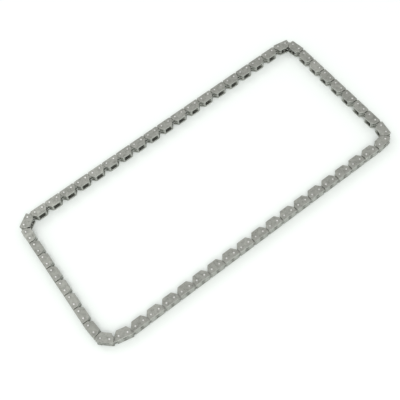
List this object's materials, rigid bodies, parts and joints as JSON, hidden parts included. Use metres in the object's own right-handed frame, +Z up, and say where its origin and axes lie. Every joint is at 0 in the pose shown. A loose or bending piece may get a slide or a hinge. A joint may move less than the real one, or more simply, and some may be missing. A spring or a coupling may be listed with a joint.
{
  "type": "timing chain",
  "caption": "Endless silent timing chain in a loose loop: inverted-tooth links and outer guide plates on riveted pins, teeth facing inwards.",
  "frame": {"origin": "middle of the loop's outline, on the surface that the chain lies on", "axes": "+X along the two long runs, +Y across the loop, +Z up along the pins"},
  "size_m": [0.2614, 0.1258, 0.0066],
  "materials": {
    "guide_plates": "satin",
    "toothed_links": "satin",
    "riveted_pins": "polished"
  },
  "bodies": {
    "far_corner": {"guides_far_corner": "guide_plates", "pins_far_corner": "riveted_pins", "links_far_corner": "toothed_links"},
    "swing_1": {"links_swing_1": "toothed_links"},
    "far_1": {"guides_far_1": "guide_plates", "pins_far_1": "riveted_pins", "links_far_1": "toothed_links"},
    "swing_2": {"links_swing_2": "toothed_links"},
    "far_2": {"guides_far_2": "guide_plates", "pins_far_2": "riveted_pins", "links_far_2": "toothed_links"},
    "swing_3": {"links_swing_3": "toothed_links"},
    "far_3": {"guides_far_3": "guide_plates", "pins_far_3": "riveted_pins", "links_far_3": "toothed_links"},
    "swing_4": {"links_swing_4": "toothed_links"},
    "left_corner": {"guides_left_corner": "guide_plates", "pins_left_corner": "riveted_pins", "links_left_corner": "toothed_links"},
    "swing_5": {"links_swing_5": "toothed_links"},
    "left_1": {"guides_left_1": "guide_plates", "pins_left_1": "riveted_pins", "links_left_1": "toothed_links"},
    "swing_6": {"links_swing_6": "toothed_links"},
    "left_2": {"guides_left_2": "guide_plates", "pins_left_2": "riveted_pins", "links_left_2": "toothed_links"},
    "swing_7": {"links_swing_7": "toothed_links"},
    "near_corner": {"guides_near_corner": "guide_plates", "pins_near_corner": "riveted_pins", "links_near_corner": "toothed_links"},
    "swing_8": {"links_swing_8": "toothed_links"},
    "near_1": {"guides_near_1": "guide_plates", "pins_near_1": "riveted_pins", "links_near_1": "toothed_links"},
    "swing_9": {"links_swing_9": "toothed_links"},
    "near_2": {"guides_near_2": "guide_plates", "pins_near_2": "riveted_pins", "links_near_2": "toothed_links"},
    "swing_10": {"links_swing_10": "toothed_links"},
    "near_3": {"guides_near_3": "guide_plates", "pins_near_3": "riveted_pins", "links_near_3": "toothed_links"},
    "swing_11": {"links_swing_11": "toothed_links"},
    "right_corner": {"guides_right_corner": "guide_plates", "pins_right_corner": "riveted_pins", "links_right_corner": "toothed_links"},
    "swing_12": {"links_swing_12": "toothed_links"},
    "right_1": {"guides_right_1": "guide_plates", "pins_right_1": "riveted_pins", "links_right_1": "toothed_links"},
    "swing_13": {"links_swing_13": "toothed_links"},
    "right_2": {"guides_right_2": "guide_plates", "pins_right_2": "riveted_pins", "links_right_2": "toothed_links"},
    "swing_14": {"links_swing_14": "toothed_links"}
  },
  "joints": [
    {"name": "near_corner_to_swing_7", "type": "hinge", "parent": "near_corner", "child": "swing_7", "pos_m": [-0.12799, -0.03912, 0], "axis": [0, 0, 1], "range_deg": [-10, 10]},
    {"name": "swing_7_to_left_2", "type": "hinge", "parent": "swing_7", "child": "left_2", "pos_m": [-0.12776, -0.03278, 0], "axis": [0, 0, 1], "range_deg": [-10, 10]},
    {"name": "left_2_to_swing_6", "type": "hinge", "parent": "left_2", "child": "swing_6", "pos_m": [-0.12666, -0.00105, 0], "axis": [0, 0, 1], "range_deg": [-10, 10]},
    {"name": "swing_6_to_left_1", "type": "hinge", "parent": "swing_6", "child": "left_1", "pos_m": [-0.12644, 0.0053, 0], "axis": [0, 0, 1], "range_deg": [-10, 10]},
    {"name": "left_1_to_swing_5", "type": "hinge", "parent": "left_1", "child": "swing_5", "pos_m": [-0.12533, 0.03703, 0], "axis": [0, 0, 1], "range_deg": [-10, 10]},
    {"name": "swing_5_to_left_corner", "type": "hinge", "parent": "swing_5", "child": "left_corner", "pos_m": [-0.12511, 0.04338, 0], "axis": [0, 0, 1], "range_deg": [-10, 10]},
    {"name": "left_corner_to_swing_4", "type": "hinge", "parent": "left_corner", "child": "swing_4", "pos_m": [-0.09232, 0.0594, 0], "axis": [0, 0, 1], "range_deg": [-10, 10]},
    {"name": "swing_4_to_far_3", "type": "hinge", "parent": "swing_4", "child": "far_3", "pos_m": [-0.08597, 0.0594, 0], "axis": [0, 0, 1], "range_deg": [-10, 10]},
    {"name": "far_3_to_swing_3", "type": "hinge", "parent": "far_3", "child": "swing_3", "pos_m": [-0.02882, 0.0594, 0], "axis": [0, 0, 1], "range_deg": [-10, 10]},
    {"name": "swing_3_to_far_2", "type": "hinge", "parent": "swing_3", "child": "far_2", "pos_m": [-0.02247, 0.0594, 0], "axis": [0, 0, 1], "range_deg": [-10, 10]},
    {"name": "far_2_to_swing_2", "type": "hinge", "parent": "far_2", "child": "swing_2", "pos_m": [0.03468, 0.0594, 0], "axis": [0, 0, 1], "range_deg": [-10, 10]},
    {"name": "swing_2_to_far_1", "type": "hinge", "parent": "swing_2", "child": "far_1", "pos_m": [0.04103, 0.0594, 0], "axis": [0, 0, 1], "range_deg": [-10, 10]},
    {"name": "far_1_to_swing_1", "type": "hinge", "parent": "far_1", "child": "swing_1", "pos_m": [0.09818, 0.0594, 0], "axis": [0, 0, 1], "range_deg": [-10, 10]},
    {"name": "swing_1_to_far_corner", "type": "hinge", "parent": "swing_1", "child": "far_corner", "pos_m": [0.10453, 0.0594, 0], "axis": [0, 0, 1], "range_deg": [-10, 10]},
    {"name": "near_corner_to_swing_8", "type": "hinge", "parent": "near_corner", "child": "swing_8", "pos_m": [-0.1099, -0.05981, 0], "axis": [0, 0, 1], "range_deg": [-10, 10]},
    {"name": "swing_8_to_near_1", "type": "hinge", "parent": "swing_8", "child": "near_1", "pos_m": [-0.10355, -0.05981, 0], "axis": [0, 0, 1], "range_deg": [-10, 10]},
    {"name": "near_1_to_swing_9", "type": "hinge", "parent": "near_1", "child": "swing_9", "pos_m": [-0.0464, -0.05981, 0], "axis": [0, 0, 1], "range_deg": [-10, 10]},
    {"name": "swing_9_to_near_2", "type": "hinge", "parent": "swing_9", "child": "near_2", "pos_m": [-0.04005, -0.05981, 0], "axis": [0, 0, 1], "range_deg": [-10, 10]},
    {"name": "near_2_to_swing_10", "type": "hinge", "parent": "near_2", "child": "swing_10", "pos_m": [0.0171, -0.05981, 0], "axis": [0, 0, 1], "range_deg": [-10, 10]},
    {"name": "swing_10_to_near_3", "type": "hinge", "parent": "swing_10", "child": "near_3", "pos_m": [0.02345, -0.05981, 0], "axis": [0, 0, 1], "range_deg": [-10, 10]},
    {"name": "near_3_to_swing_11", "type": "hinge", "parent": "near_3", "child": "swing_11", "pos_m": [0.0806, -0.05981, 0], "axis": [0, 0, 1], "range_deg": [-10, 10]},
    {"name": "swing_11_to_right_corner", "type": "hinge", "parent": "swing_11", "child": "right_corner", "pos_m": [0.08695, -0.05981, 0], "axis": [0, 0, 1], "range_deg": [-10, 10]},
    {"name": "right_corner_to_swing_12", "type": "hinge", "parent": "right_corner", "child": "swing_12", "pos_m": [0.12456, -0.04853, 0], "axis": [0, 0, 1], "range_deg": [-10, 10]},
    {"name": "swing_12_to_right_1", "type": "hinge", "parent": "swing_12", "child": "right_1", "pos_m": [0.12478, -0.04218, 0], "axis": [0, 0, 1], "range_deg": [-10, 10]},
    {"name": "right_1_to_swing_13", "type": "hinge", "parent": "right_1", "child": "swing_13", "pos_m": [0.12589, -0.01045, 0], "axis": [0, 0, 1], "range_deg": [-10, 10]},
    {"name": "swing_13_to_right_2", "type": "hinge", "parent": "swing_13", "child": "right_2", "pos_m": [0.12611, -0.0041, 0], "axis": [0, 0, 1], "range_deg": [-10, 10]},
    {"name": "right_2_to_swing_14", "type": "hinge", "parent": "right_2", "child": "swing_14", "pos_m": [0.12722, 0.02763, 0], "axis": [0, 0, 1], "range_deg": [-10, 10]}
  ],
  "couplings": [
    {"joint": "swing_11_to_right_corner", "follows": "near_corner_to_swing_8", "ratio": -1},
    {"joint": "swing_1_to_far_corner", "follows": "near_corner_to_swing_8", "ratio": -1},
    {"joint": "left_corner_to_swing_4", "follows": "near_corner_to_swing_8", "ratio": 1},
    {"joint": "swing_5_to_left_corner", "follows": "near_corner_to_swing_7", "ratio": -1},
    {"joint": "right_corner_to_swing_12", "follows": "near_corner_to_swing_7", "ratio": 1},
    {"joint": "near_1_to_swing_9", "follows": "swing_8_to_near_1", "ratio": -1},
    {"joint": "far_1_to_swing_1", "follows": "swing_8_to_near_1", "ratio": -1},
    {"joint": "swing_2_to_far_1", "follows": "swing_8_to_near_1", "ratio": 1},
    {"joint": "near_2_to_swing_10", "follows": "swing_9_to_near_2", "ratio": -1},
    {"joint": "far_2_to_swing_2", "follows": "swing_9_to_near_2", "ratio": -1},
    {"joint": "swing_3_to_far_2", "follows": "swing_9_to_near_2", "ratio": 1},
    {"joint": "near_3_to_swing_11", "follows": "swing_10_to_near_3", "ratio": -1},
    {"joint": "far_3_to_swing_3", "follows": "swing_10_to_near_3", "ratio": -1},
    {"joint": "swing_4_to_far_3", "follows": "swing_10_to_near_3", "ratio": 1},
    {"joint": "left_1_to_swing_5", "follows": "swing_6_to_left_1", "ratio": -1},
    {"joint": "swing_12_to_right_1", "follows": "swing_6_to_left_1", "ratio": 1},
    {"joint": "right_1_to_swing_13", "follows": "swing_6_to_left_1", "ratio": -1},
    {"joint": "left_2_to_swing_6", "follows": "swing_7_to_left_2", "ratio": -1},
    {"joint": "swing_13_to_right_2", "follows": "swing_7_to_left_2", "ratio": 1},
    {"joint": "right_2_to_swing_14", "follows": "swing_7_to_left_2", "ratio": -1}
  ]
}
